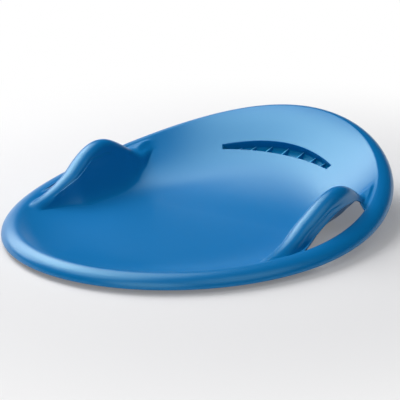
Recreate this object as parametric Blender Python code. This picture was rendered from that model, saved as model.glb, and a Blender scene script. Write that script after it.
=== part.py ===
"""Saucer sled with a raised back, two arched side grips and a crescent slot in the back.

Lengths are in metres. +Y points to the raised back, +X to the rider's right, +Z up, and the
origin is on the ground under the middle of the rim. The real sled is one moulded shell. Here it
is cut along its own form lines into named pieces, all taken from one surface. Stations run round
the rim, and lines run across each station from the rim's lower edge to the edge of the floor.
"""

import math

import bmesh
import bpy
import numpy as np

# Rim: an ellipse seen from above, low in front and raised at the back
RIM_HALF_WIDTH = 0.2545
RIM_HALF_LENGTH = 0.303
RIM_FRONT_HEIGHT = 0.025
RIM_BACK_HEIGHT = 0.118
RIM_RISE_POWER = 3.0
ROLL_WIDTH = 0.025
ROLL_DROP = 0.018
RIM_LAND = 0.003

# Dish: flat floor, ramp to the back, and a side that swells up to the rim
WALL = 0.003
SIDE_WIDTH = 0.110
SIDE_POWER = 2.0
RAMP_START = 0.030
RAMP_RISE = 0.095
RAMP_POWER = 2.0

# Height of the grips' ridge along the sled
GRIP_MIDDLE = 0.032
GRIP_ROOT = 0.0205
GRIP_RISE = 0.067
GRIP_FRONT_SPREAD = 0.111
GRIP_REAR_SPREAD = 0.098
SHELF_STEP = 0.010
SHELF_BLEND = 0.010

# Distance of the ridge from the rim's crest
INSET = 0.0365
INSET_MIDDLE = -0.056
INSET_FRONT_REACH = 0.115
INSET_REAR_REACH = 0.416
INSET_POWER = 1.39
LEAST_INSET = 0.008
TAPER_START = 0.125
TAPER_END = 0.160

# Section of the grips
GRIP_RADIUS = 0.016
SEAT_WALL_SLOPE = math.radians(72.5)
EDGE_TURN = math.radians(43.5)
EDGE_MIDDLE = -0.098
EDGE_FRONT_SPAN = 0.045
EDGE_REAR_SPAN = 0.072
RIM_SIDE_TURN = math.radians(80)
FLANGE = 0.012
FLANGE_REAR = 0.004
FILLET_SHARE = 1.2
FILLET_LEAST = 0.006
FILLET_MOST = 0.040
RIM_SIDE_FILLET = 0.008
RIDGE_BLEND = 0.010
SHELF_FILL = 0.8
FILL_START = 0.050
FILL_END = 0.090
FADE_LENGTH = 0.020

# Ends of the handles and of the opening between each grip and the rim, at the rim and at the grip
HANDLE_FRONT = -0.150
HANDLE_REAR = 0.155
OPEN_FRONT = -0.088
OPEN_REAR = 0.075
GRIP_OPEN_FRONT = -0.045
GRIP_OPEN_REAR = 0.085
FLOOR_CUT = 0.043

# Crescent slot in the back, a recess with ribs
SLOT_SPREAD = math.radians(33)
SLOT_FADE = math.radians(10)
SLOT_TOP = 0.064
SLOT_TOP_CURVE = 0.0075
SLOT_BOTTOM = 0.081
SLOT_BOTTOM_CURVE = 0.0175
SLOT_DEPTH = 0.020
SLOT_WALL = 0.0015
RIB_COUNT = 9
RIB_END_MARGIN = 0.0053
RIB_PITCH = math.radians(17.5)
RIB_THICKNESS = 0.0022
RIB_SINK_LOW = 0.004
RIB_SINK_HIGH = 0.015

# Clearance between neighbouring pieces
GAP = 0.0003

# Number of stations in each stretch of half the rim, from the front to the back
FRONT_STEPS = 11
NOSE_STEPS = 5
FLOOR_STEPS = 11
REAR_OPEN_STEPS = 3
TAIL_STEPS = 7
CORNER_STEPS = 5
SLOT_STEPS = 7

# Lines across a station
ROLL_ANGLES = (0, 25, 45, 65, 90)
CREST_LINE = len(ROLL_ANGLES) - 1
LAND_LINE = CREST_LINE + 1
FLANGE_LINE = LAND_LINE + 1
RIM_SIDE_SHARES = (0.62, 0.31)
SEAT_SIDE_SHARES = (0.33, 0.67)
RIDGE_LINE = FLANGE_LINE + 4
GROOVE_LINE = RIDGE_LINE + 3
FOOT_LINE = GROOVE_LINE + 6
FLOOR_LINE = FOOT_LINE + 1
SLOT_TOP_LINE = RIDGE_LINE + 2
SLOT_BOTTOM_LINE = SLOT_TOP_LINE + 4

# How the lines spread where the grip is low, as shares of the way from the ridge to the wall's foot
ROLL_LINE_CAPS = (0.25, 0.45)
EDGE_CAP = 0.6
RISE_CAP = 0.8
LEAST_STAND = 0.002
FOOT_PASSES = 12
FLANGE_MARGIN = 0.0045

# Share of the grip's slant that each line below the edge line still has
WALL_LEANS = (0.8, 0.6, 0.5, 0.4, 0.3, 0.2, 0.0)

BLUE = (0.004, 0.165, 0.500, 1.0)
DEEP_BLUE = (0.003, 0.120, 0.380, 1.0)
ROUGHNESS = 0.35
PROBE = 0.0005


def smooth_step(x):
    x = np.clip(x, 0.0, 1.0)
    return x * x * (3.0 - 2.0 * x)


def smooth_max(a, b, reach):
    near = np.clip(1.0 - np.abs(a - b) / reach, 0.0, None)
    return np.maximum(a, b) + near * near * reach / 4.0


def rim_height(v):
    rise = (v + RIM_HALF_LENGTH) / (2.0 * RIM_HALF_LENGTH)
    return RIM_FRONT_HEIGHT + (RIM_BACK_HEIGHT - RIM_FRONT_HEIGHT) * rise**RIM_RISE_POWER


def dish_height(v, y, s):
    ramp = np.maximum(0.0, y - RAMP_START) / (RIM_HALF_LENGTH - RAMP_START)
    floor = WALL + RAMP_RISE * ramp**RAMP_POWER
    side = np.clip(1.0 - s / SIDE_WIDTH, 0.0, 1.0) ** SIDE_POWER
    return floor + (rim_height(v) - floor) * side


def ridge_height(v):
    spread = np.where(v < GRIP_MIDDLE, GRIP_FRONT_SPREAD, GRIP_REAR_SPREAD)
    bell = GRIP_ROOT + GRIP_RISE * np.exp(-(((v - GRIP_MIDDLE) / spread) ** 2))
    return smooth_max(bell, rim_height(v) - SHELF_STEP, SHELF_BLEND)


def ridge_inset(v):
    reach = np.where(v < INSET_MIDDLE, INSET_FRONT_REACH, INSET_REAR_REACH)
    inset = INSET * (1.0 - (np.abs(v - INSET_MIDDLE) / reach) ** INSET_POWER)
    taper = smooth_step((v - TAPER_START) / (TAPER_END - TAPER_START))
    return np.maximum(inset + (LEAST_INSET - inset) * taper, LEAST_INSET)


def seat_turn(v):
    """How far the grip's roll turns down before it breaks into the wall, least at its edge line."""
    span = np.where(v < EDGE_MIDDLE, EDGE_FRONT_SPAN, EDGE_REAR_SPAN)
    return EDGE_TURN + (SEAT_WALL_SLOPE - EDGE_TURN) * smooth_step(np.abs(v - EDGE_MIDDLE) / span)


def crest(t):
    """Plan position of the rim's crest and its outward direction."""
    x = RIM_HALF_WIDTH * np.cos(t)
    y = RIM_HALF_LENGTH * np.sin(t)
    nx = RIM_HALF_LENGTH * np.cos(t)
    ny = RIM_HALF_WIDTH * np.sin(t)
    size = np.hypot(nx, ny)
    return x, y, nx / size, ny / size


def fillet_reach(v):
    """Blend at the foot of the grip's wall, smaller where the grip is low."""
    t = np.arcsin(np.clip(v / RIM_HALF_LENGTH, -1.0, 1.0))
    inset = ridge_inset(v)
    y = v - inset * crest(t)[3]
    stand = ridge_height(v) - dish_height(v, y, inset)
    return np.clip(FILLET_SHARE * stand, FILLET_LEAST, FILLET_MOST)


def handle_height(v, y, s):
    """Surface of the dish with the grip raised from it, at the distance s inside the crest."""
    dish = dish_height(v, y, s)
    top = ridge_height(v)
    u = s - ridge_inset(v)
    turn = np.where(u > 0.0, seat_turn(v), RIM_SIDE_TURN)
    edge = GRIP_RADIUS * np.sin(turn)
    reach = np.minimum(np.abs(u), edge)
    arc = top - GRIP_RADIUS + np.sqrt(GRIP_RADIUS**2 - reach**2)
    slope = np.where(u > 0.0, SEAT_WALL_SLOPE, RIM_SIDE_TURN)
    fin = arc - np.tan(slope) * (np.abs(u) - reach)
    seat_side = smooth_step(0.5 + u / (2.0 * RIDGE_BLEND))
    fill = SHELF_FILL * smooth_step((v - FILL_START) / (FILL_END - FILL_START)) * (1.0 - seat_side)
    ground = dish + fill * (rim_height(v) - dish)
    blend = RIM_SIDE_FILLET + (fillet_reach(v) - RIM_SIDE_FILLET) * seat_side
    raised = smooth_max(fin, ground, blend) - dish
    front = smooth_step((v - HANDLE_FRONT) / FADE_LENGTH + 0.5)
    rear = smooth_step((HANDLE_REAR - v) / FADE_LENGTH + 0.5)
    inland = smooth_step((s - RIM_LAND / 2.0) / LEAST_INSET)
    return dish + raised * front * rear * inland


def surface(t, s):
    """Points of the upper surface on the right half, for station angles t and distances s."""
    x, y, nx, ny = crest(t)
    v = y
    px = x - s * nx
    py = y - s * ny
    over = np.clip(-s / ROLL_WIDTH, 0.0, 1.0)
    roll = rim_height(v) - ROLL_DROP * (1.0 - np.sqrt(1.0 - over**2))
    inner = handle_height(v, py, np.maximum(s, 0.0))
    return np.stack([px, py, np.where(s < 0.0, roll, inner)], axis=-1)


def normals(t, s):
    along = surface(t + PROBE, s) - surface(t - PROBE, s)
    across = surface(t, s + PROBE) - surface(t, s - PROBE)
    out = np.cross(along, across)
    return out / np.linalg.norm(out, axis=-1, keepdims=True)


def foot_distance(v):
    """Distance from the ridge to the crease where the seat-side wall meets the dish."""
    t = np.arcsin(v / RIM_HALF_LENGTH)
    inset = ridge_inset(v)
    turn = float(seat_turn(v))
    edge = GRIP_RADIUS * math.sin(turn)
    fall = GRIP_RADIUS * (1.0 - math.cos(turn))
    u = edge
    for _ in range(FOOT_PASSES):
        y = v - (inset + u) * crest(t)[3]
        depth = max(ridge_height(v) - dish_height(v, y, inset + u), LEAST_STAND)
        if depth < fall:
            u = math.sqrt(2.0 * GRIP_RADIUS * depth - depth**2)
        else:
            u = edge + (depth - fall) / math.tan(SEAT_WALL_SLOPE)
    return u


def handle_lines(v):
    """Distances of the lines from the crest, where they follow the grip."""
    inset = float(ridge_inset(v))
    rim_edge = GRIP_RADIUS * math.sin(RIM_SIDE_TURN)
    back = float(smooth_step((v - GRIP_MIDDLE) / (GRIP_OPEN_REAR - GRIP_MIDDLE)))
    flange = rim_edge + (FLANGE + (FLANGE_REAR - FLANGE) * back) * math.cos(RIM_SIDE_TURN)
    seat = float(seat_turn(v))
    outer = [GRIP_RADIUS * math.sin(a * RIM_SIDE_TURN) for a in RIM_SIDE_SHARES]
    inner = [GRIP_RADIUS * math.sin(a * seat) for a in SEAT_SIDE_SHARES]
    squeeze = min(1.0, (inset - FLANGE_MARGIN) / flange)
    lines = [RIM_LAND]
    lines += [inset - squeeze * d for d in (flange, rim_edge, *outer)]
    foot = foot_distance(v)
    seat_edge = min(GRIP_RADIUS * math.sin(seat), EDGE_CAP * foot)
    lines += [inset] + [inset + min(d, cap * foot) for d, cap in zip(inner, ROLL_LINE_CAPS)]
    half = float(fillet_reach(v)) / math.tan(SEAT_WALL_SLOPE)
    rise = min(half, RISE_CAP * (foot - seat_edge))
    start = foot - rise
    lines += [inset + d for d in (seat_edge, (seat_edge + start) / 2.0, start)]
    lines += [inset + foot + d for d in (-rise / 2.0, 0.0, half / 2.0, half)]
    return lines + [SIDE_WIDTH]


def plain_lines(t):
    """Evenly spread lines, drawn to the slot's edges across the back."""
    turn = abs(math.pi / 2.0 - t)
    share = min(turn / SLOT_SPREAD, 1.0) ** 2
    pull = 1.0 - float(smooth_step((turn - SLOT_SPREAD) / SLOT_FADE))
    even = [RIM_LAND + (SIDE_WIDTH - RIM_LAND) * k / (FLOOR_LINE - LAND_LINE)
            for k in range(FLOOR_LINE - LAND_LINE + 1)]
    top = SLOT_TOP - SLOT_TOP_CURVE * share
    bottom = SLOT_BOTTOM - SLOT_BOTTOM_CURVE * share
    a = SLOT_TOP_LINE - LAND_LINE
    b = SLOT_BOTTOM_LINE - LAND_LINE
    marks = [0, a, b, FLOOR_LINE - LAND_LINE]
    high = even[a] + (top - even[a]) * pull
    low = even[b] + (bottom - even[b]) * pull
    values = [RIM_LAND, high, low, SIDE_WIDTH]
    return [float(np.interp(k, marks, values)) for k in range(len(even))]


def station_angles():
    """Angles of the stations on the right half and the index at which each stretch ends."""
    ends = [-math.pi / 2.0]
    ends += [math.asin(v / RIM_HALF_LENGTH)
             for v in (HANDLE_FRONT, OPEN_FRONT, FLOOR_CUT, OPEN_REAR, HANDLE_REAR)]
    ends += [math.pi / 2.0 - SLOT_SPREAD, math.pi / 2.0]
    steps = (FRONT_STEPS, NOSE_STEPS, FLOOR_STEPS, REAR_OPEN_STEPS)
    steps += (TAIL_STEPS, CORNER_STEPS, SLOT_STEPS)
    angles = [ends[0]]
    marks = []
    for a, b, n in zip(ends, ends[1:], steps):
        angles += [a + (b - a) * (k + 1) / n for k in range(n)]
        marks.append(len(angles) - 1)
    return angles, marks


def build_grid():
    """Upper points and outward directions for every station round the rim and every line."""
    angles, marks = station_angles()
    t = np.zeros((len(angles), FLOOR_LINE + 1))
    s = np.zeros_like(t)
    lean = [0.0] * FLANGE_LINE + [1.0] * (GROOVE_LINE - LAND_LINE) + list(WALL_LEANS)
    rim_marks = [HANDLE_FRONT, OPEN_FRONT, OPEN_REAR, HANDLE_REAR]
    grip_marks = [HANDLE_FRONT, GRIP_OPEN_FRONT, GRIP_OPEN_REAR, HANDLE_REAR]
    roll = [-ROLL_WIDTH * math.cos(math.radians(a)) for a in ROLL_ANGLES[:-1]] + [0.0]
    for i, angle in enumerate(angles):
        v = RIM_HALF_LENGTH * math.sin(angle)
        inside = HANDLE_FRONT <= v <= HANDLE_REAR
        drawn = float(np.interp(v, rim_marks, grip_marks)) if inside else v
        beyond = max(HANDLE_FRONT - v, v - HANDLE_REAR, 0.0)
        grip_share = 1.0 - float(smooth_step(beyond / (SIDE_WIDTH / 2.0)))
        plain = plain_lines(angle)
        for j in range(FLOOR_LINE + 1):
            w = v + (drawn - v) * lean[j]
            t[i, j] = math.asin(max(-1.0, min(1.0, w / RIM_HALF_LENGTH)))
            if j < LAND_LINE:
                s[i, j] = roll[j]
                continue
            s[i, j] = plain[j - LAND_LINE]
            if grip_share > 0.0:
                held = min(max(w, HANDLE_FRONT), HANDLE_REAR)
                s[i, j] += grip_share * (handle_lines(held)[j - LAND_LINE] - s[i, j])
    t[0] = angles[0]
    t[-1] = angles[-1]
    points = surface(t, s)
    out = normals(t, np.maximum(s, -ROLL_WIDTH + 2.0 * PROBE))
    nx, ny = crest(t)[2:]
    for j, a in enumerate(ROLL_ANGLES[:-1]):
        side = math.cos(math.radians(a)) / ROLL_WIDTH
        lift = math.sin(math.radians(a)) / ROLL_DROP
        size = math.hypot(side, lift)
        out[:, j] = np.stack([nx[:, j] * side, ny[:, j] * side, np.full(len(angles), lift)], -1) / size
    # The slot's walls go down without leaning sideways, so that the ribs can stand upright in it
    slot_end = marks[-2]
    walls = out[slot_end:, SLOT_TOP_LINE:SLOT_BOTTOM_LINE + 1]
    walls[..., 0] = 0.0
    walls /= np.linalg.norm(walls, axis=-1, keepdims=True)
    flip = np.array([-1.0, 1.0, 1.0])
    points[0, :, 0] = points[-1, :, 0] = 0.0
    out[0, :, 0] = out[-1, :, 0] = 0.0
    whole = np.concatenate([points, points[-2:0:-1] * flip])
    whole_out = np.concatenate([out, out[-2:0:-1] * flip])
    return whole, whole_out, marks


POINTS, OUT, MARKS = build_grid()
NOSE, OPEN_A, CUT, OPEN_B, TAIL, SLOT_END, LAST = MARKS
COUNT = 2 * LAST


def half_index(k):
    return k if k < LAST else COUNT - 1 - k


def new_object(name, verts, faces, colour):
    mesh = bpy.data.meshes.new(name)
    mesh.from_pydata([tuple(float(c) for c in v) for v in verts], [], faces)
    bm = bmesh.new()
    bm.from_mesh(mesh)
    bmesh.ops.recalc_face_normals(bm, faces=bm.faces)
    bm.to_mesh(mesh)
    bm.free()
    obj = bpy.data.objects.new(name, mesh)
    bpy.context.collection.objects.link(obj)
    material = bpy.data.materials.new(name)
    material.use_nodes = True
    shader = material.node_tree.nodes["Principled BSDF"]
    shader.inputs["Base Color"].default_value = colour
    shader.inputs["Roughness"].default_value = ROUGHNESS
    mesh.materials.append(material)
    return obj


def unit(vector):
    return vector / np.linalg.norm(vector)


def shell(name, cells, strips):
    """A piece of the moulding, one wall thick: the given cells and cross strips, clear of the rest."""
    present = set(cells)
    for h in strips:
        present |= {(h, FLOOR_LINE), (COUNT - 1 - h, FLOOR_LINE)}

    def missing(k, j):
        return j >= 0 and (k % COUNT, j) not in present

    def place(k, j):
        before = missing(k - 1, j - 1) + missing(k - 1, j)
        after = missing(k, j - 1) + missing(k, j)
        outer = missing(k - 1, j - 1) + missing(k, j - 1)
        inner = missing(k - 1, j) + missing(k, j)
        here = POINTS[k, j]
        shift = np.zeros(3)
        if before != after:
            step = 1 if before > after else -1
            shift = shift + unit(POINTS[(k + step) % COUNT, j] - here) * GAP / 2.0
        if outer != inner:
            step = 1 if outer > inner else -1
            if 0 <= j + step <= FLOOR_LINE:
                shift = shift + unit(POINTS[k, j + step] - here) * GAP / 2.0
        return here + shift

    index = {}
    tops = []
    lows = []

    def corner(k, j):
        key = (k % COUNT, j)
        if key not in index:
            index[key] = len(tops)
            top = place(*key)
            tops.append(top)
            lows.append(top - WALL * OUT[key])
        return index[key]

    upper = [(corner(k, j), corner(k + 1, j), corner(k + 1, j + 1), corner(k, j + 1)) for k, j in cells]
    for h in strips:
        ring = [corner(h, FLOOR_LINE), corner(h + 1, FLOOR_LINE)]
        ring += [corner(COUNT - h - 1, FLOOR_LINE), corner(COUNT - h, FLOOR_LINE)]
        upper.append(tuple(dict.fromkeys(ring)))
    n = len(tops)
    edges = {(f[i], f[(i + 1) % len(f)]) for f in upper for i in range(len(f))}
    faces = list(upper)
    faces += [tuple(n + i for i in reversed(f)) for f in upper]
    keys = list(index)
    for a, b in sorted(edges):
        if (b, a) in edges:
            continue
        # Both neighbours of a cut split its faces along the same diagonal
        if keys[a] < keys[b]:
            faces += [(b, a, n + b), (a, n + a, n + b)]
        else:
            faces += [(b, a, n + a), (b, n + a, n + b)]
    return new_object(name, tops + lows, faces, BLUE)


def all_cells(keep):
    return [(k, j) for k in range(COUNT) for j in range(FLOOR_LINE) if keep(k, j)]


def rim_piece(name, keep):
    return shell(name, all_cells(lambda k, j: j < LAND_LINE and keep(k)), [])


def in_handle(k):
    return NOSE <= half_index(k) < TAIL


def is_open(k, j):
    return j == LAND_LINE and OPEN_A <= half_index(k) < OPEN_B


def in_slot(k, j):
    return half_index(k) >= SLOT_END and SLOT_TOP_LINE <= j < SLOT_BOTTOM_LINE


def in_seat(k, j):
    h = half_index(k)
    return j >= LAND_LINE and h < NOSE or j == FOOT_LINE and NOSE <= h < CUT


def in_back(k, j):
    h = half_index(k)
    return j >= LAND_LINE and h >= TAIL and not in_slot(k, j) or j == FOOT_LINE and CUT <= h < TAIL


def build_pocket():
    """Open tray that lines the crescent slot."""
    ks = range(SLOT_END, COUNT - SLOT_END + 1)
    loop = [(k, SLOT_TOP_LINE) for k in ks] + [(k, SLOT_BOTTOM_LINE) for k in reversed(ks)]
    rings = [[], [], [], []]
    for k, j in loop:
        here = POINTS[k, j]
        normal = OUT[k, j]
        into = unit(POINTS[k, j + (1 if j == SLOT_TOP_LINE else -1)] - here)
        if k == ks[0]:
            into = into + unit(POINTS[k + 1, j] - here)
        if k == ks[-1]:
            into = into + unit(POINTS[k - 1, j] - here)
        outer = here + GAP * into
        inner = here + (GAP + SLOT_WALL) * into
        rings[0].append(outer)
        rings[1].append(inner)
        rings[2].append(inner - (SLOT_DEPTH - SLOT_WALL) * normal)
        rings[3].append(outer - SLOT_DEPTH * normal)
    n = len(loop)
    half = n // 2
    faces = []
    for a, b in ((0, 1), (1, 2), (3, 0)):
        faces += [(a * n + i, a * n + (i + 1) % n, b * n + (i + 1) % n, b * n + i) for i in range(n)]
    for ring in (2, 3):
        for i in range(half - 1):
            quad = (ring * n + i, ring * n + i + 1, ring * n + n - 2 - i, ring * n + n - 1 - i)
            faces.append(quad if ring == 3 else tuple(reversed(quad)))
    return new_object("hand_slot_pocket", sum(rings, []), faces, DEEP_BLUE)


def edge_at(x, line, field=POINTS):
    """Point of a slot edge, or its outward direction, at the sideways position x."""
    ks = range(COUNT - SLOT_END, SLOT_END - 1, -1)
    xs = [POINTS[k, line][0] for k in ks]
    return np.array([np.interp(x, xs, [field[k, line][c] for k in ks]) for c in range(3)])


def rib_edge(x, line, sink):
    """Top and foot of a rib beside one wall of the recess, and the wall's own direction."""
    here = edge_at(x, line)
    normal = unit(edge_at(x, line, OUT))
    before, after = (edge_at(x + d, line) for d in (-RIB_THICKNESS, RIB_THICKNESS))
    slope = np.linalg.norm((after - before)[1:]) / (2.0 * RIB_THICKNESS)
    clear = (SLOT_WALL + 2.0 * GAP) * math.hypot(1.0, slope) + RIB_THICKNESS / 2.0 * slope
    across = unit(edge_at(x, SLOT_TOP_LINE) - edge_at(x, SLOT_BOTTOM_LINE))
    inward = across if line == SLOT_BOTTOM_LINE else -across
    here[0] = x
    inward[0] = 0.0
    start = here + inward * clear
    return start - normal * sink, start - normal * (SLOT_DEPTH - SLOT_WALL - GAP)


def build_rib(number, x):
    """Thin upright rib that stands on the recess's floor from its lower wall to its upper wall."""
    low_top, low_foot = rib_edge(x, SLOT_BOTTOM_LINE, RIB_SINK_LOW)
    high_top, high_foot = rib_edge(x, SLOT_TOP_LINE, RIB_SINK_HIGH)
    side = np.array([RIB_THICKNESS / 2.0, 0.0, 0.0])
    outline = (low_top, high_top, high_foot, low_foot)
    verts = [p + side for p in outline] + [p - side for p in outline]
    faces = [(0, 1, 2, 3), (7, 6, 5, 4)]
    faces += [(i, i + 4, (i + 1) % 4 + 4, (i + 1) % 4) for i in range(4)]
    return new_object("slot_rib_%d" % number, verts, faces, DEEP_BLUE)


for old in list(bpy.data.objects):
    bpy.data.objects.remove(old, do_unlink=True)

shell("seat_pan", all_cells(in_seat), range(CUT))
shell("backrest", all_cells(in_back), range(CUT, LAST))
rim_piece("front_rim", lambda k: half_index(k) < NOSE)
rim_piece("right_rim", lambda k: in_handle(k) and k < LAST)
rim_piece("back_rim", lambda k: half_index(k) >= TAIL)
rim_piece("left_rim", lambda k: in_handle(k) and k >= LAST)
for side_name, right in (("right", True), ("left", False)):
    def on_side(k):
        return in_handle(k) and (k < LAST) == right

    shell(side_name + "_grip", all_cells(
        lambda k, j: on_side(k) and LAND_LINE <= j < GROOVE_LINE and not is_open(k, j)), [])
    shell(side_name + "_grip_wall", all_cells(
        lambda k, j: on_side(k) and GROOVE_LINE <= j < FOOT_LINE), [])
build_pocket()
# The ribs stand at even turns about the middle, and the last one keeps clear of the slot's end
last_rib = (RIB_COUNT - 1) // 2
end_x = POINTS[SLOT_END, SLOT_BOTTOM_LINE][0] - RIB_END_MARGIN
for rib in range(RIB_COUNT):
    share = math.sin((rib - last_rib) * RIB_PITCH) / math.sin(last_rib * RIB_PITCH)
    build_rib(rib + 1, end_x * share)
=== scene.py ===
"""Looks of the saucer sled: fine smooth pieces, blue moulded plastic, floor, lamps and camera.

Lengths are in metres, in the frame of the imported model: +Y points to the raised back and +X to
the rider's right. Every piece of the moulding is drawn again from the surface of its CAD node,
with finer steps, rounded edges, a softer run-out of the side into the floor, and the small lip
that runs along both sides of the grips.
"""

import math

import bpy
import numpy as np
from mathutils import Matrix, Vector


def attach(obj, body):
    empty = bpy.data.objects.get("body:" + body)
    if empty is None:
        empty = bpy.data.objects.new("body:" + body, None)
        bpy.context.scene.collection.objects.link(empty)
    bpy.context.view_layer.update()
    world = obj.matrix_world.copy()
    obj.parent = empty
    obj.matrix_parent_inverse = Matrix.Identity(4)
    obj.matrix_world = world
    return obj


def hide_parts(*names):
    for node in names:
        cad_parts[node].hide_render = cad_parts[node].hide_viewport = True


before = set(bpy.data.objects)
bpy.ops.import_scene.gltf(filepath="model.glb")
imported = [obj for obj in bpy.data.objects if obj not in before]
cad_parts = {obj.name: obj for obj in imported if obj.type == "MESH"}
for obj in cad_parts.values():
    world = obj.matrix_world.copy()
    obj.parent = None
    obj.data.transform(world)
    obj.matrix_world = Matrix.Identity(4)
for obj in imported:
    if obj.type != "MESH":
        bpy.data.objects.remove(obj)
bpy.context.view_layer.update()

# Rim: an ellipse seen from above, low in front and raised at the back
RIM_HALF_WIDTH = 0.2545
RIM_HALF_LENGTH = 0.303
RIM_FRONT_HEIGHT = 0.025
RIM_BACK_HEIGHT = 0.118
RIM_RISE_POWER = 3.0
ROLL_WIDTH = 0.025
ROLL_DROP = 0.018
RIM_LAND = 0.003

# Dish: flat floor, ramp to the back, and a side that swells up to the rim. The side runs out into
# the floor over SIDE_SOFT to both sides of its foot.
WALL = 0.003
SIDE_WIDTH = 0.110
SIDE_SOFT = 0.030
RAMP_START = 0.030
RAMP_RISE = 0.095
RAMP_POWER = 2.0

# Height of the grips' ridge along the sled
GRIP_MIDDLE = 0.032
GRIP_ROOT = 0.0205
GRIP_RISE = 0.067
GRIP_FRONT_SPREAD = 0.111
GRIP_REAR_SPREAD = 0.098
SHELF_STEP = 0.010
SHELF_BLEND = 0.010

# Distance of the ridge from the rim's crest
INSET = 0.0365
INSET_MIDDLE = -0.056
INSET_FRONT_REACH = 0.115
INSET_REAR_REACH = 0.416
INSET_POWER = 1.39
LEAST_INSET = 0.008
TAPER_START = 0.125
TAPER_END = 0.160

# Section of the grips
GRIP_RADIUS = 0.016
SEAT_WALL_SLOPE = math.radians(72.5)
EDGE_TURN = math.radians(43.5)
EDGE_MIDDLE = -0.098
EDGE_FRONT_SPAN = 0.045
EDGE_REAR_SPAN = 0.072
RIM_SIDE_TURN = math.radians(80)
FLANGE = 0.012
FLANGE_REAR = 0.004
FILLET_SHARE = 1.2
FILLET_LEAST = 0.006
FILLET_MOST = 0.040
RIM_SIDE_FILLET = 0.008
RIDGE_BLEND = 0.010
SHELF_FILL = 0.8
FILL_START = 0.050
FILL_END = 0.090
FADE_LENGTH = 0.020

# Ends of the handles and of the opening between each grip and the rim, at the rim and at the grip
HANDLE_FRONT = -0.150
HANDLE_REAR = 0.155
OPEN_FRONT = -0.088
OPEN_REAR = 0.075
GRIP_OPEN_FRONT = -0.045
GRIP_OPEN_REAR = 0.085
FLOOR_CUT = 0.043
WEB_FRONT = 0.035
WEB_REAR = 0.045

# Crescent slot in the back, a recess with ribs
SLOT_SPREAD = math.radians(33)
SLOT_FADE = math.radians(10)
SLOT_TOP = 0.064
SLOT_TOP_CURVE = 0.0075
SLOT_BOTTOM = 0.081
SLOT_BOTTOM_CURVE = 0.0175
SLOT_DEPTH = 0.020
SLOT_WALL = 0.0015
SLOT_FLOOR_FILLET = 0.003
RIB_COUNT = 9
RIB_END_MARGIN = 0.0053
RIB_PITCH = math.radians(17.5)
RIB_THICKNESS = 0.0022
RIB_SINK_LOW = 0.004
RIB_SINK_HIGH = 0.015

# Rounding of the rim's crest, which is narrow once 1 + sin(station angle) is CREST_ROUND_SPAN
CREST_ROUND_FRONT = 0.006
CREST_ROUND_BACK = 0.0012
CREST_ROUND_SPAN = 1.4
CREST_PROBE = 0.0005

# Lip along the grips: a step just past a line, with a dip before it whose start and length are
# counted in lip widths. From LIP_DROP_START to LIP_DROP_END it moves off its line by LIP_DROP.
# Each lip runs over its own span of the rim and fades in and out there.
LIP_STEP = 0.0004
LIP_DIP = 0.0004
LIP_DIP_START = 2.5
LIP_DIP_SPAN = 2.0
LIP_WIDTH = 0.0017
LIP_DECAY = 0.020
LIP_DROP = 0.0075
LIP_DROP_START = -0.050
LIP_DROP_END = -0.005
LIP_FADE_IN = 0.025
LIP_FADE_OUT = 0.030
SEAT_LIP_SPAN = (-0.135, 0.045)
RIM_LIP_SPAN = (-0.125, 0.002)
RIM_LIP_DROP_SHARE = 0.6

# Number of stations in each stretch of half the rim, from the front to the back
STATION_STEPS = (64, 22, 44, 12, 28, 32, 42)

# Coarse lines across a station
LAND_LINE = 5
FLANGE_LINE = 6
GROOVE_LINE = 13
FOOT_LINE = 19
FLOOR_LINE = 20
SLOT_TOP_LINE = 12
SLOT_BOTTOM_LINE = 16
RIM_SIDE_SHARES = (0.62, 0.31)
SEAT_SIDE_SHARES = (0.33, 0.67)

# Limits that keep the lines in order where a grip is low, and the search for its wall's foot
ROLL_LINE_CAPS = (0.25, 0.45)
EDGE_CAP = 0.6
RISE_CAP = 0.8
LEAST_STAND = 0.002
FOOT_PASSES = 12
FLANGE_MARGIN = 0.0045

# How far each line from the wall to the floor's edge leans along with the grip
WALL_LEANS = (0.8, 0.6, 0.5, 0.4, 0.3, 0.2, 0.0)

# Fine lines: turns over the rim's roll, distances at its crest, and how each stretch between two
# coarse lines is divided
ROLL_LINE_TURNS = range(0, 60, 6)
CREST_LINES = (-0.0125, -0.0105, -0.0086, -0.0069, -0.0054, -0.0041, -0.0030, -0.0020,
               -0.0012, -0.0006, 0.0, 0.0007, 0.0013)
EVEN_SHARES = tuple(k / 4.0 for k in range(4))
FLANGE_SHARES = (0.0, 0.42, 0.5, 0.58, 0.66, 0.74, 0.81, 0.87, 0.93)
ROLL_EDGE_SHARES = (0.0, 0.06, 0.12, 0.2, 0.32, 0.48, 0.7)
TO_GROOVE_SHARES = (0.0, 0.25, 0.45, 0.6, 0.7, 0.78, 0.86, 0.93)
PAST_GROOVE_SHARES = tuple(k / 40.0 for k in range(20)) + (0.52, 0.6, 0.72, 0.85)
FOOT_SHARES = tuple(k / 8.0 for k in range(8))

# Steps of the meshes
FLOOR_COLUMNS = 24
CREST_SAMPLES = 1441
NORMAL_PASSES = 6
EDGE_STEPS = 6
EDGE_SHARE = 0.8
POCKET_STEPS = 4
RIB_ROUND_STEPS = 6
RIB_ROWS = 7
TINY = 1e-12

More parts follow.
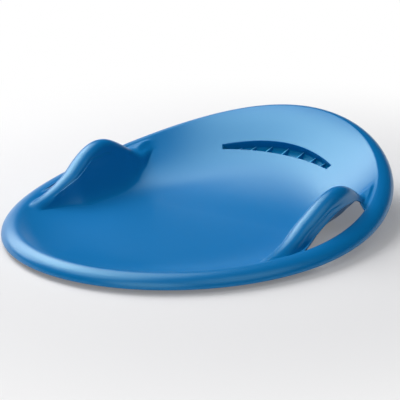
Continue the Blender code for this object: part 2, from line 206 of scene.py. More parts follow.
# Plastic: two close blues that mingle, gloss and grain; the slot and the ribs painted a lighter
# blue than the shell to lift their shade, and a painted highlight on the ribs' tops
SHELL_COLOURS = ((0.0, 0.172, 0.470, 1.0), (0.0, 0.164, 0.450, 1.0))
# Painted light: the slot's recess gets a lighter blue than the shell, to lift the shade that falls
# in it
SLOT_COLOURS_PAINTED_LIGHTER = ((0.0, 0.250, 0.540, 1.0), (0.0, 0.240, 0.520, 1.0))
# Painted light: the ribs get a lighter blue than the shell, to lift the shade they stand in
RIB_COLOURS_PAINTED_LIGHTER = ((0.0, 0.200, 0.480, 1.0), (0.0, 0.190, 0.460, 1.0))
SHELL_SHINE = 0.65
SLOT_SHINE = 0.3
RIB_SHINE = 0.5
# Painted highlight on the ribs' tops: this colour where their surface faces up out of the slot,
# over the facing range below
RIB_PAINTED_HIGHLIGHT_COLOUR = (0.14, 0.64, 1.0, 1.0)
RIB_PAINTED_HIGHLIGHT_FACING = (0.2, 0.7)
REFLECTION_TINT = (0.55, 1.0, 1.0, 1.0)
PLASTIC_IOR = 1.5
ROUGHNESS = (0.28, 0.36)
CLOUD_SCALE = 9.0
CLOUD_DETAIL = 3.0
GRAIN_SCALE = 900.0
GRAIN_DETAIL = 2.0
GRAIN_STRENGTH = 0.04
GRAIN_HEIGHT = 0.0004

# Camera at the photograph's place
AZIMUTH = math.radians(35.5)
ELEVATION = math.radians(17.9)
DISTANCE = 2.4
AIM = Vector((0.0, 0.0, 0.025))
SENSOR = 36.0
LENS = 141.8
LENS_SHIFT = (-0.001, 0.0155)
CLIP_END = 50.0

# Lamps: name, azimuth and elevation in degrees, diameter and power
LAMPS = (
    ("left_lamp", 262, 35, 2.4, 56),
    ("high_left_lamp", 250, 56, 2.4, 36),
    ("upper_left_lamp", 300, 62, 2.2, 28),
    ("front_lamp", 20, 34, 2.2, 24),
    ("right_lamp", 85, 50, 2.2, 14),
)
LAMP_DISTANCE = 3.0
LAMP_AIM = Vector((0.0, 0.0, 0.05))
WORLD_STRENGTH = 0.02

# Floor and the low walls at its far edge: paper near the sled, with a share of plain white that
# grows with the distance from the middle
FLOOR_REACH = 15.0
FLOOR_WALLS = 2.2
FLOOR_GAP = 0.0005
FLOOR_COLOUR = (0.73, 0.73, 0.745, 1.0)
FLOOR_ROUGHNESS = 0.9
FLOOR_SHINE = 0.1
WHITE_START = 0.40
WHITE_END = 1.0
WHITE_NEAR = 0.18


def smooth_step(x):
    x = np.clip(x, 0.0, 1.0)
    return x * x * (3.0 - 2.0 * x)


def unit(vectors):
    return vectors / np.maximum(np.linalg.norm(vectors, axis=-1, keepdims=True), TINY)


def smooth_max(a, b, reach):
    near = np.clip(1.0 - np.abs(a - b) / reach, 0.0, None)
    return np.maximum(a, b) + near * near * reach / 4.0


def rim_height(v):
    rise = (v + RIM_HALF_LENGTH) / (2.0 * RIM_HALF_LENGTH)
    return RIM_FRONT_HEIGHT + (RIM_BACK_HEIGHT - RIM_FRONT_HEIGHT) * rise**RIM_RISE_POWER


def ramp_height(y):
    ramp = np.maximum(0.0, y - RAMP_START) / (RIM_HALF_LENGTH - RAMP_START)
    return WALL + RAMP_RISE * ramp**RAMP_POWER


def run_out(s):
    """From 1 where the side starts to run out into the floor to 0 where it has ended."""
    return np.clip((SIDE_WIDTH + SIDE_SOFT - s) / (2.0 * SIDE_SOFT), 0.0, 1.0)


def side_share(s):
    """Share of the rim's height at the distance s: a parabola that runs out softly in the floor."""
    join = SIDE_WIDTH - SIDE_SOFT
    soft = (SIDE_SOFT / SIDE_WIDTH) ** 2 / 3.0
    swell = np.clip(1.0 - s / SIDE_WIDTH, 0.0, 1.0) ** 2 + soft * smooth_step(s / join)
    return np.where(s < join, swell, 4.0 * soft * run_out(s) ** 3)


def dish_height(v, y, s):
    return ramp_height(y) + (rim_height(v) - ramp_height(y)) * side_share(s)


def floor_shape(x, y):
    """Height and normal of the dish's middle at the plan places x, y."""
    t = np.linspace(0.0, 2.0 * math.pi, CREST_SAMPLES)
    dx = RIM_HALF_WIDTH * np.cos(t)[None, :] - x[:, None]
    dy = RIM_HALF_LENGTH * np.sin(t)[None, :] - y[:, None]
    gap = np.hypot(dx, dy)
    rows = np.arange(len(x))
    best = np.argmin(gap, axis=1)
    s = gap[rows, best]
    rise = rim_height(RIM_HALF_LENGTH * np.sin(t[best])) - ramp_height(y)
    pull = 2.0 * SIDE_SOFT / SIDE_WIDTH**2 * run_out(s) ** 2 * rise / s
    run = RIM_HALF_LENGTH - RAMP_START
    ramp = RAMP_RISE * RAMP_POWER * np.maximum(0.0, y - RAMP_START) / run**2
    across = pull * dx[rows, best]
    along = ramp * (1.0 - side_share(s)) + pull * dy[rows, best]
    normals = unit(np.stack([-across, -along, 1.0 + 0.0 * x], axis=-1))
    return ramp_height(y) + rise * side_share(s), normals


def ridge_height(v):
    spread = np.where(v < GRIP_MIDDLE, GRIP_FRONT_SPREAD, GRIP_REAR_SPREAD)
    bell = GRIP_ROOT + GRIP_RISE * np.exp(-(((v - GRIP_MIDDLE) / spread) ** 2))
    return smooth_max(bell, rim_height(v) - SHELF_STEP, SHELF_BLEND)


def ridge_inset(v):
    reach = np.where(v < INSET_MIDDLE, INSET_FRONT_REACH, INSET_REAR_REACH)
    inset = INSET * (1.0 - (np.abs(v - INSET_MIDDLE) / reach) ** INSET_POWER)
    taper = smooth_step((v - TAPER_START) / (TAPER_END - TAPER_START))
    return np.maximum(inset + (LEAST_INSET - inset) * taper, LEAST_INSET)


def seat_turn(v):
    """How far the grip's roll turns down before it breaks into the wall, least at its edge line."""
    span = np.where(v < EDGE_MIDDLE, EDGE_FRONT_SPAN, EDGE_REAR_SPAN)
    return EDGE_TURN + (SEAT_WALL_SLOPE - EDGE_TURN) * smooth_step(np.abs(v - EDGE_MIDDLE) / span)


def crest(t):
    """Plan position of the rim's crest and its outward direction."""
    x = RIM_HALF_WIDTH * np.cos(t)
    y = RIM_HALF_LENGTH * np.sin(t)
    nx = RIM_HALF_LENGTH * np.cos(t)
    ny = RIM_HALF_WIDTH * np.sin(t)
    size = np.hypot(nx, ny)
    return x, y, nx / size, ny / size


def angle_of(v):
    return np.arcsin(np.clip(v / RIM_HALF_LENGTH, -1.0, 1.0))


def fillet_reach(v):
    """Blend at the foot of the grip's wall, smaller where the grip is low."""
    inset = ridge_inset(v)
    y = v - inset * crest(angle_of(v))[3]
    stand = ridge_height(v) - dish_height(v, y, inset)
    return np.clip(FILLET_SHARE * stand, FILLET_LEAST, FILLET_MOST)


def handle_height(v, y, s):
    """Surface of the dish with the grip raised from it, at the distance s inside the crest."""
    dish = dish_height(v, y, s)
    top = ridge_height(v)
    u = s - ridge_inset(v)
    turn = np.where(u > 0.0, seat_turn(v), RIM_SIDE_TURN)
    edge = GRIP_RADIUS * np.sin(turn)
    reach = np.minimum(np.abs(u), edge)
    arc = top - GRIP_RADIUS + np.sqrt(GRIP_RADIUS**2 - reach**2)
    slope = np.where(u > 0.0, SEAT_WALL_SLOPE, RIM_SIDE_TURN)
    fin = arc - np.tan(slope) * (np.abs(u) - reach)
    seat_side = smooth_step(0.5 + u / (2.0 * RIDGE_BLEND))
    fill = SHELF_FILL * smooth_step((v - FILL_START) / (FILL_END - FILL_START)) * (1.0 - seat_side)
    ground = dish + fill * (rim_height(v) - dish)
    blend = RIM_SIDE_FILLET + (fillet_reach(v) - RIM_SIDE_FILLET) * seat_side
    raised = smooth_max(fin, ground, blend) - dish
    front = smooth_step((v - HANDLE_FRONT) / FADE_LENGTH + 0.5)
    rear = smooth_step((HANDLE_REAR - v) / FADE_LENGTH + 0.5)
    inland = smooth_step((s - RIM_LAND / 2.0) / LEAST_INSET)
    return dish + raised * front * rear * inland


def plain_surface(t, s):
    """Points of the upper surface on the right half, for station angles t and distances s."""
    x, y, nx, ny = crest(t)
    px = x - s * nx
    py = y - s * ny
    over = np.clip(-s / ROLL_WIDTH, 0.0, 1.0)
    roll = rim_height(y) - ROLL_DROP * (1.0 - np.sqrt(1.0 - over**2))
    inner = handle_height(y, py, np.maximum(s, 0.0))
    return np.stack([px, py, np.where(s < 0.0, roll, inner)], axis=-1)


def surface(t, s):
    """The same points with the crest's crease rounded, widely in front and tightly at the back."""
    points = plain_surface(t, s)
    zero = np.zeros_like(t)
    inside = plain_surface(t, zero + CREST_PROBE)
    fall = (plain_surface(t, zero)[..., 2] - inside[..., 2]) / CREST_PROBE
    back = smooth_step((np.sin(t) + 1.0) / CREST_ROUND_SPAN)
    reach = CREST_ROUND_FRONT + (CREST_ROUND_BACK - CREST_ROUND_FRONT) * back
    near = np.clip(1.0 - np.abs(s) / reach, 0.0, 1.0)
    points[..., 2] -= np.clip(fall, 0.0, None) * reach / 4.0 * near**2
    return points


def foot_distance(v):
    """Distance from the ridge to the crease where the seat-side wall meets the dish."""
    inset = ridge_inset(v)
    turn = seat_turn(v)
    edge = GRIP_RADIUS * np.sin(turn)
    fall = GRIP_RADIUS * (1.0 - np.cos(turn))
    u = edge
    for _ in range(FOOT_PASSES):
        y = v - (inset + u) * crest(angle_of(v))[3]
        depth = np.maximum(ridge_height(v) - dish_height(v, y, inset + u), LEAST_STAND)
        on_roll = np.sqrt(np.maximum(2.0 * GRIP_RADIUS * depth - depth**2, 0.0))
        on_wall = edge + (depth - fall) / np.tan(SEAT_WALL_SLOPE)
        u = np.where(depth < fall, on_roll, on_wall)
    return u


def handle_lines(v):
    """Distances of the lines from the crest, where they follow the grip."""
    inset = ridge_inset(v)
    rim_edge = GRIP_RADIUS * math.sin(RIM_SIDE_TURN)
    back = smooth_step((v - GRIP_MIDDLE) / (GRIP_OPEN_REAR - GRIP_MIDDLE))
    flange = rim_edge + (FLANGE + (FLANGE_REAR - FLANGE) * back) * math.cos(RIM_SIDE_TURN)
    seat = seat_turn(v)
    rim_turns = [GRIP_RADIUS * math.sin(a * RIM_SIDE_TURN) for a in RIM_SIDE_SHARES]
    seat_turns = [GRIP_RADIUS * np.sin(a * seat) for a in SEAT_SIDE_SHARES]
    squeeze = np.minimum(1.0, (inset - FLANGE_MARGIN) / flange)
    foot = foot_distance(v)
    seat_edge = np.minimum(GRIP_RADIUS * np.sin(seat), EDGE_CAP * foot)
    half = fillet_reach(v) / math.tan(SEAT_WALL_SLOPE)
    rise = np.minimum(half, RISE_CAP * (foot - seat_edge))
    start = foot - rise
    lines = [RIM_LAND + 0.0 * v]
    lines += [inset - squeeze * d for d in (flange, rim_edge, rim_turns[0], rim_turns[1])]
    lines += [inset]
    lines += [inset + np.minimum(d, cap * foot) for d, cap in zip(seat_turns, ROLL_LINE_CAPS)]
    lines += [inset + d for d in (seat_edge, (seat_edge + start) / 2.0, start)]
    lines += [inset + foot + d for d in (-rise / 2.0, 0.0, half / 2.0, half)]
    lines += [SIDE_WIDTH + 0.0 * v]
    return np.stack(lines, axis=-1)


def plain_lines(t):
    """Evenly spread lines, drawn to the slot's edges across the back."""
    turn = np.abs(math.pi / 2.0 - t)
    share = np.minimum(turn / SLOT_SPREAD, 1.0) ** 2
    pull = 1.0 - smooth_step((turn - SLOT_SPREAD) / SLOT_FADE)
    count = FLOOR_LINE - LAND_LINE
    even = [RIM_LAND + (SIDE_WIDTH - RIM_LAND) * k / count for k in range(count + 1)]
    a = SLOT_TOP_LINE - LAND_LINE
    b = SLOT_BOTTOM_LINE - LAND_LINE
    top = even[a] + (SLOT_TOP - SLOT_TOP_CURVE * share - even[a]) * pull
    bottom = even[b] + (SLOT_BOTTOM - SLOT_BOTTOM_CURVE * share - even[b]) * pull
    lines = []
    for k in range(count + 1):
        if k <= a:
            lines.append(even[0] + (top - even[0]) * k / a)
        elif k <= b:
            lines.append(top + (bottom - top) * (k - a) / (b - a))
        else:
            lines.append(bottom + (even[-1] - bottom) * (k - b) / (count - b))
    return np.stack(lines, axis=-1)


def rim_line_distances():
    """Distances of the lines over the rim's roll, closer together at the crest."""
    side = [-ROLL_WIDTH * math.cos(math.radians(a)) for a in ROLL_LINE_TURNS]
    return side + list(CREST_LINES)


def line_positions():
    """Positions of the fine lines from the land to the floor's edge, counted in coarse lines."""
    stretches = {
        FLANGE_LINE: FLANGE_SHARES,
        FLANGE_LINE + 1: ROLL_EDGE_SHARES,
        GROOVE_LINE - 1: TO_GROOVE_SHARES,
        GROOVE_LINE: PAST_GROOVE_SHARES,
        FOOT_LINE: FOOT_SHARES,
    }
    lines = []
    for j in range(LAND_LINE, FLOOR_LINE):
        lines += [j + share for share in stretches.get(j, EVEN_SHARES)]
    return np.array(lines + [FLOOR_LINE])


def station_angles():
    """Angles of the stations on the right half and the index at which each stretch ends."""
    ends = [-math.pi / 2.0]
    ends += [math.asin(v / RIM_HALF_LENGTH)
             for v in (HANDLE_FRONT, OPEN_FRONT, FLOOR_CUT, OPEN_REAR, HANDLE_REAR)]
    ends += [math.pi / 2.0 - SLOT_SPREAD, math.pi / 2.0]
    angles = [ends[0]]
    marks = []
    for a, b, n in zip(ends, ends[1:], STATION_STEPS):
        angles += [a + (b - a) * (k + 1) / n for k in range(n)]
        marks.append(len(angles) - 1)
    return np.array(angles), marks


ANGLES, MARKS = station_angles()
NOSE, OPEN_A, CUT, OPEN_B, TAIL, SLOT_END, LAST = MARKS
COUNT = 2 * LAST
ROLL_S = rim_line_distances()
POSITIONS = line_positions()
LAND = len(ROLL_S)
LINES = LAND + len(POSITIONS)


def fine(line):
    """Index of a coarse line among the fine ones."""
    return LAND + int(np.argmin(np.abs(POSITIONS - line)))


FLANGE_AT = fine(FLANGE_LINE)
ROLL_EDGE_AT = fine(FLANGE_LINE + 1)
GROOVE = fine(GROOVE_LINE)
FOOT = fine(FOOT_LINE)
FLOOR = LINES - 1
SLOT_HIGH = fine(SLOT_TOP_LINE)
SLOT_LOW = fine(SLOT_BOTTOM_LINE)


def grid_normals(points):
    """Normals at the points of the whole grid, averaged over the cells round each point."""
    after = np.roll(points, -1, axis=0)
    a = after[:, 1:] - points[:, :-1]
    b = after[:, :-1] - points[:, 1:]
    cells = np.cross(b, a)
    total = np.zeros_like(points)
    total[:, :-1] += cells
    total[:, 1:] += cells
    total[:, :-1] += np.roll(cells, 1, axis=0)
    total[:, 1:] += np.roll(cells, 1, axis=0)
    return unit(total)


def half_grid():
    """Upper points of the right half, station by line."""
    v = RIM_HALF_LENGTH * np.sin(ANGLES)
    rim_marks = [HANDLE_FRONT, OPEN_FRONT, OPEN_REAR, HANDLE_REAR]
    grip_marks = [HANDLE_FRONT, GRIP_OPEN_FRONT, GRIP_OPEN_REAR, HANDLE_REAR]
    inside = (v >= HANDLE_FRONT) & (v <= HANDLE_REAR)
    drawn = np.where(inside, np.interp(v, rim_marks, grip_marks), v)
    beyond = np.maximum(np.maximum(HANDLE_FRONT - v, v - HANDLE_REAR), 0.0)
    grip_share = 1.0 - smooth_step(beyond / (SIDE_WIDTH / 2.0))
    lean_marks = [LAND_LINE, FLANGE_LINE] + list(range(GROOVE_LINE, FLOOR_LINE + 1))
    lean = np.interp(POSITIONS, lean_marks, [0.0, 1.0, 1.0] + list(WALL_LEANS))
    t = np.repeat(ANGLES[:, None], LINES, axis=1)
    s = np.zeros_like(t)
    s[:, :LAND] = ROLL_S
    plain = plain_lines(ANGLES)
    for c, position in enumerate(POSITIONS):
        w = v + (drawn - v) * lean[c]
        t[:, LAND + c] = angle_of(w)
        held = handle_lines(np.clip(w, HANDLE_FRONT, HANDLE_REAR))
        low = min(int(position), FLOOR_LINE - 1) - LAND_LINE
        part = position - LAND_LINE - low
        on_plain = plain[:, low] + (plain[:, low + 1] - plain[:, low]) * part
        on_grip = held[:, low] + (held[:, low + 1] - held[:, low]) * part
        s[:, LAND + c] = on_plain + grip_share * (on_grip - on_plain)
    t[0] = ANGLES[0]
    t[-1] = ANGLES[-1]
    points = surface(t, s)
    # Beside the openings the web between the rim and the grip's flange is drawn straight across
    web = smooth_step((v - OPEN_FRONT) / WEB_FRONT + 1.0)
    web *= smooth_step((OPEN_REAR - v) / WEB_REAR + 1.0)
    part = ((POSITIONS - LAND_LINE) / (FLANGE_LINE - LAND_LINE))[:FLANGE_AT - LAND, None]
    first = points[:, LAND:LAND + 1]
    straight = first + (points[:, FLANGE_AT:FLANGE_AT + 1] - first) * part
    points[:, LAND:FLANGE_AT] += (straight - points[:, LAND:FLANGE_AT]) * web[:, None, None]
    points[0, :, 0] = points[-1, :, 0] = 0.0
    return points


def mirrored(half):
    return np.concatenate([half, half[-2:0:-1] * np.array([-1.0, 1.0, 1.0])])


def lip_offset(points, line, outward, drop):
    """A small step along a line of the grips: it stands out past the line and fades away."""
    steps = np.linalg.norm(np.diff(points, axis=1), axis=-1)
    along = np.concatenate([np.zeros((COUNT, 1)), np.cumsum(steps, axis=1)], axis=1)
    d = outward * (along - along[:, line:line + 1]) - drop[:, None]
    step = LIP_STEP * smooth_step(d / LIP_WIDTH) * (1.0 - smooth_step((d - LIP_WIDTH) / LIP_DECAY))
    before = (d + LIP_DIP_START * LIP_WIDTH) / (LIP_DIP_SPAN * LIP_WIDTH)
    return step - LIP_DIP * smooth_step(before) * (1.0 - smooth_step(d / LIP_WIDTH))


def shaped_grid():
    points = mirrored(half_grid())
    normals = grid_normals(points)
    crest_y = RIM_HALF_LENGTH * np.sin(np.concatenate([ANGLES, ANGLES[-2:0:-1]]))
    dropping = smooth_step((crest_y - LIP_DROP_START) / (LIP_DROP_END - LIP_DROP_START))
    lips = ((GROOVE, 1.0, SEAT_LIP_SPAN, LIP_DROP),
            (ROLL_EDGE_AT, -1.0, RIM_LIP_SPAN, RIM_LIP_DROP_SHARE * LIP_DROP))
    for line, outward, (front, rear), most in lips:
        share = smooth_step((crest_y - front) / LIP_FADE_IN)
        share *= smooth_step((rear - crest_y) / LIP_FADE_OUT)
        offset = lip_offset(points, line, outward, most * dropping) * share[:, None]
        points = points + normals * offset[..., None]
    return points


POINTS = shaped_grid()
NORMALS = grid_normals(POINTS)
NORMALS[:, FLOOR] = floor_shape(POINTS[:, FLOOR, 0], POINTS[:, FLOOR, 1])[1]


def smoothed_normals():
    """Normals for the underside, averaged so widely that it doesn't fold at creases."""
    total = NORMALS.copy()
    for _ in range(NORMAL_PASSES):
        wide = total + np.roll(total, 1, axis=0) + np.roll(total, -1, axis=0)
        up = np.concatenate([wide[:, :1], wide[:, :-1]], axis=1)
        down = np.concatenate([wide[:, 1:], wide[:, -1:]], axis=1)
        total = unit(wide + up + down)
        total[:, FLOOR] = NORMALS[:, FLOOR]
        total[:, 0] = NORMALS[:, 0]
    return total


PIECES = ("seat_pan", "backrest", "front_rim", "right_rim", "back_rim", "left_rim",
          "right_grip", "left_grip", "right_grip_wall", "left_grip_wall")


def cell_owners():
    """Which piece each cell of the grid belongs to, or -1 in the openings and the slot."""
    k = np.arange(COUNT)[:, None]
    j = np.arange(LINES - 1)[None, :]
    h = np.where(k < LAST, k, COUNT - 1 - k)
    left = k >= LAST
    handle = (h >= NOSE) & (h < TAIL)
    number = PIECES.index
    owner = np.full((COUNT, LINES - 1), -1)
    owner[(j >= LAND) & (h < NOSE) | (j >= FOOT) & handle & (h < CUT)] = number("seat_pan")
    owner[(j >= LAND) & (h >= TAIL) | (j >= FOOT) & handle & (h >= CUT)] = number("backrest")
    owner[(j < LAND) & (h < NOSE)] = number("front_rim")
    owner[(j < LAND) & (h >= TAIL)] = number("back_rim")
    for side, here in (("right", handle & ~left), ("left", handle & left)):
        owner[(j < LAND) & here] = number(side + "_rim")
        owner[(j >= LAND) & (j < GROOVE) & here] = number(side + "_grip")
        owner[(j >= GROOVE) & (j < FOOT) & here] = number(side + "_grip_wall")
    owner[(j >= LAND) & (j < FLANGE_AT) & (h >= OPEN_A) & (h < OPEN_B)] = -1
    owner[(j >= SLOT_HIGH) & (j < SLOT_LOW) & (h >= SLOT_END)] = -1
    return owner


OWNER = cell_owners()


def edge_shift():
    """For points on a free edge, the way from the edge's own place back into the piece."""
    gone = np.pad(OWNER < 0, ((0, 0), (1, 1)), constant_values=((False, False), (True, False)))
    here = gone.astype(int)
    behind = np.roll(here, 1, axis=0)
    before = behind[:, :-1] + behind[:, 1:]
    after = here[:, :-1] + here[:, 1:]
    outer = behind[:, :-1] + here[:, :-1]
    inner = behind[:, 1:] + here[:, 1:]
    shift = np.zeros_like(POINTS)

    def lean_to(neighbour, on):
        way = neighbour - POINTS
        size = np.linalg.norm(way, axis=-1, keepdims=True)
        step = unit(way) * np.minimum(WALL / 2.0, EDGE_SHARE * size)
        return np.where(on[..., None], step, 0.0)

    shift += lean_to(np.roll(POINTS, -1, axis=0), before > after)
    shift += lean_to(np.roll(POINTS, 1, axis=0), after > before)
    shift += lean_to(np.concatenate([POINTS[:, 1:], POINTS[:, -1:]], axis=1), outer > inner)
    shift += lean_to(np.concatenate([POINTS[:, :1], POINTS[:, :-1]], axis=1), inner > outer)
    return shift


SHIFT = edge_shift()
UNDER = smoothed_normals()
TOPS = POINTS + SHIFT
LOWS = TOPS - WALL * UNDER
LOW_NORMALS = -grid_normals(LOWS)
LOW_NORMALS[:, FLOOR] = -NORMALS[:, FLOOR]


class Solid:
    """Collects the points and faces of a closed piece, with a normal at each face's corners."""

    def __init__(self):
        self.index = {}
        self.points = []
        self.faces = []
        self.corner_normals = []

    def point(self, key, place):
        if key not in self.index:
            self.index[key] = len(self.points)
            self.points.append(tuple(float(c) for c in place))
        return self.index[key]

    def face(self, corners, normals=None):
        """Adds a face of point numbers, flat where no normals are given, one for each corner."""
        kept = [i for i, c in enumerate(corners) if c != corners[i - 1]]
        if len(kept) < 3:
            return
        if normals is None:
            places = np.array([self.points[corners[i]] for i in kept])
            ahead = np.roll(places, -1, axis=0)
            flat = unit(np.cross(places, ahead).sum(axis=0))
            normals = [flat] * len(corners)
            number = len(self.faces)
            corners = [self.point(("flat", number, i), self.points[c])
                       for i, c in enumerate(corners)]
        self.faces.append([corners[i] for i in kept])
        self.corner_normals += [tuple(float(c) for c in normals[i]) for i in kept]

    def build(self, name):
        mesh = bpy.data.meshes.new(name)
        mesh.from_pydata(self.points, [], self.faces)
        mesh.polygons.foreach_set("use_smooth", [True] * len(mesh.polygons))
        mesh.normals_split_custom_set(self.corner_normals)
        mesh.update()
        obj = bpy.data.objects.new(name, mesh)
        bpy.context.collection.objects.link(obj)
        return obj


def edge_ring(k, j):
    """Points and normals of the rounded edge at a grid point, from the upper side to the lower."""
    places = []
    normals = []
    out = -SHIFT[k, j]
    for m in range(EDGE_STEPS + 1):
        a = math.pi * m / EDGE_STEPS
        fall = UNDER[k, j] * (WALL / 2.0) * (1.0 - math.cos(a))
        places.append(TOPS[k, j] + out * math.sin(a) - fall)
        normals.append(unit(unit(out) * math.sin(a) + UNDER[k, j] * math.cos(a)))
    normals[0] = NORMALS[k, j]
    normals[-1] = LOW_NORMALS[k, j]
    return places, normals


def build_shell(number):
    """One piece of the moulding with its free edges rounded and its cuts closed."""
    solid = Solid()
    cells = np.argwhere(OWNER == number)
    mine = {(int(k), int(j)) for k, j in cells}

    def top(k, j):
        return solid.point(("top", k % COUNT, j), TOPS[k % COUNT, j])

    def low(k, j):
        return solid.point(("low", k % COUNT, j), LOWS[k % COUNT, j])

    def ring_point(key, places, m):
        if m == 0:
            return top(*key)
        if m == EDGE_STEPS:
            return low(*key)
        return solid.point(("edge", key, m), places[m])

    sides = []
    for k, j in sorted(mine):
        ring = [(k, j), (k + 1, j), (k + 1, j + 1), (k, j + 1)]
        ring = [(a % COUNT, b) for a, b in ring]
        solid.face([top(*p) for p in ring], [NORMALS[p] for p in ring])
        turned = ring[::-1]
        solid.face([low(*p) for p in turned], [LOW_NORMALS[p] for p in turned])
        around = [((k, j - 1), ring[0], ring[1]), (((k + 1) % COUNT, j), ring[1], ring[2]),
                  ((k, j + 1), ring[2], ring[3]), (((k - 1) % COUNT, j), ring[3], ring[0])]
        for other, a, b in around:
            if other in mine or other[1] == LINES - 1:
                continue
            free = other[1] < 0 or OWNER[other] < 0
            sides.append((a, b, free))
    ends = {}
    for a, b, free in sides:
        if not free:
            solid.face([top(*b), top(*a), low(*a), low(*b)])
            continue
        places_a, normals_a = edge_ring(*a)
        places_b, normals_b = edge_ring(*b)
        for m in range(EDGE_STEPS):
            solid.face([ring_point(b, places_b, m), ring_point(a, places_a, m),
                        ring_point(a, places_a, m + 1), ring_point(b, places_b, m + 1)],
                       [normals_b[m], normals_a[m], normals_a[m + 1], normals_b[m + 1]])
        ends[a] = ends.get(a, 0) + 1
        ends[b] = ends.get(b, 0) - 1
    for key, balance in ends.items():
        if balance == 0:
            continue
        places = edge_ring(*key)[0]
        loop = [ring_point(key, places, m) for m in range(EDGE_STEPS + 1)]
        solid.face(loop if balance > 0 else loop[::-1])
    return solid, top, low


def add_floor(solid, top, low, first, last):
    """The middle of the dish, in rows from the right half's floor edge to the left half's."""
    share = np.cos(np.linspace(0.0, math.pi, FLOOR_COLUMNS + 1))
    shapes = []
    for i in range(LAST + 1):
        x = TOPS[i, FLOOR, 0] * share
        y = TOPS[i, FLOOR, 1] + 0.0 * share
        heights, normals = floor_shape(x, y)
        shapes.append((heights - heights[0], normals))

    def row_point(i, m, side):
        if i == 0 or i == LAST:
            m = 0
        if m == 0:
            return top(i, FLOOR) if side > 0 else low(i, FLOOR)
        if m == FLOOR_COLUMNS:
            return (top if side > 0 else low)(COUNT - i, FLOOR)
        here = (TOPS if side > 0 else LOWS)[i, FLOOR].copy()
        here[0] *= share[m]
        here[2] += shapes[i][0][m]
        return solid.point(("floor", i, m, side), here)

    for i in range(first, last):
        for m in range(FLOOR_COLUMNS):
            ring = [(i, m), (i + 1, m), (i + 1, m + 1), (i, m + 1)]
            for side in (1, -1):
                corners = [row_point(a, b, side) for a, b in ring]
                normals = [side * shapes[a][1][0 if a in (0, LAST) else b] for a, b in ring]
                if side < 0:
                    corners.reverse()
                    normals.reverse()
                solid.face(corners, normals)
    cut = last if first == 0 else first
    for m in range(FLOOR_COLUMNS):
        ends = [(1, m), (1, m + 1), (-1, m + 1), (-1, m)]
        corners = [row_point(cut, b, side) for side, b in ends]
        solid.face(corners if cut == last else corners[::-1])


def slot_loop():
    """Edge of the slot all round, from the right end along the top and back along the bottom."""
    ks = list(range(SLOT_END, COUNT - SLOT_END + 1))
    loop = [(k, SLOT_HIGH) for k in ks]
    loop += [(ks[-1], j) for j in range(SLOT_HIGH + 1, SLOT_LOW)]
    loop += [(k, SLOT_LOW) for k in reversed(ks)]
    loop += [(ks[0], j) for j in range(SLOT_LOW - 1, SLOT_HIGH, -1)]
    return loop, ks


def finish_piece(obj, node, material):
    obj.data.materials.append(material)
    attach(obj, "root")
    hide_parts(node)


def moulded_plastic(name, colours, shine):
    """Smooth blue moulding: slightly uneven colour and gloss, and a fine grain in the surface."""
    material = bpy.data.materials.new(name)
    material.use_nodes = True
    nodes = material.node_tree.nodes
    links = material.node_tree.links
    shader = nodes["Principled BSDF"]
    place = nodes.new("ShaderNodeTexCoord")
    cloud = nodes.new("ShaderNodeTexNoise")
    cloud.inputs["Scale"].default_value = CLOUD_SCALE
    cloud.inputs["Detail"].default_value = CLOUD_DETAIL
    links.new(place.outputs["Object"], cloud.inputs["Vector"])
    tint = nodes.new("ShaderNodeMix")
    tint.data_type = "RGBA"
    tint.inputs[6].default_value = colours[0]
    tint.inputs[7].default_value = colours[1]
    links.new(cloud.outputs["Fac"], tint.inputs[0])
    links.new(tint.outputs[2], shader.inputs["Base Color"])
    grain = nodes.new("ShaderNodeTexNoise")
    grain.inputs["Scale"].default_value = GRAIN_SCALE
    grain.inputs["Detail"].default_value = GRAIN_DETAIL
    links.new(place.outputs["Object"], grain.inputs["Vector"])
    gloss = nodes.new("ShaderNodeMapRange")
    gloss.inputs["To Min"].default_value = ROUGHNESS[0]
    gloss.inputs["To Max"].default_value = ROUGHNESS[1]
    links.new(grain.outputs["Fac"], gloss.inputs["Value"])
    links.new(gloss.outputs["Result"], shader.inputs["Roughness"])
    bump = nodes.new("ShaderNodeBump")
    bump.inputs["Strength"].default_value = GRAIN_STRENGTH
    bump.inputs["Distance"].default_value = GRAIN_HEIGHT
    links.new(grain.outputs["Fac"], bump.inputs["Height"])
    links.new(bump.outputs["Normal"], shader.inputs["Normal"])
    shader.inputs["IOR"].default_value = PLASTIC_IOR
    shader.inputs["Specular IOR Level"].default_value = shine
    shader.inputs["Specular Tint"].default_value = REFLECTION_TINT
    return material


SHELL_BLUE = moulded_plastic("shell_plastic", SHELL_COLOURS, SHELL_SHINE)
# The slot's recess is painted a lighter blue than the shell, to lift its shade
SLOT_BLUE_PAINTED_LIGHTER = moulded_plastic("slot_plastic_painted_lighter", SLOT_COLOURS_PAINTED_LIGHTER, SLOT_SHINE)
# The ribs are painted a lighter blue than the shell, and get a painted highlight on their tops
# further down
RIB_BLUE_PAINTED_LIGHT = moulded_plastic("rib_plastic_painted_light", RIB_COLOURS_PAINTED_LIGHTER, RIB_SHINE)


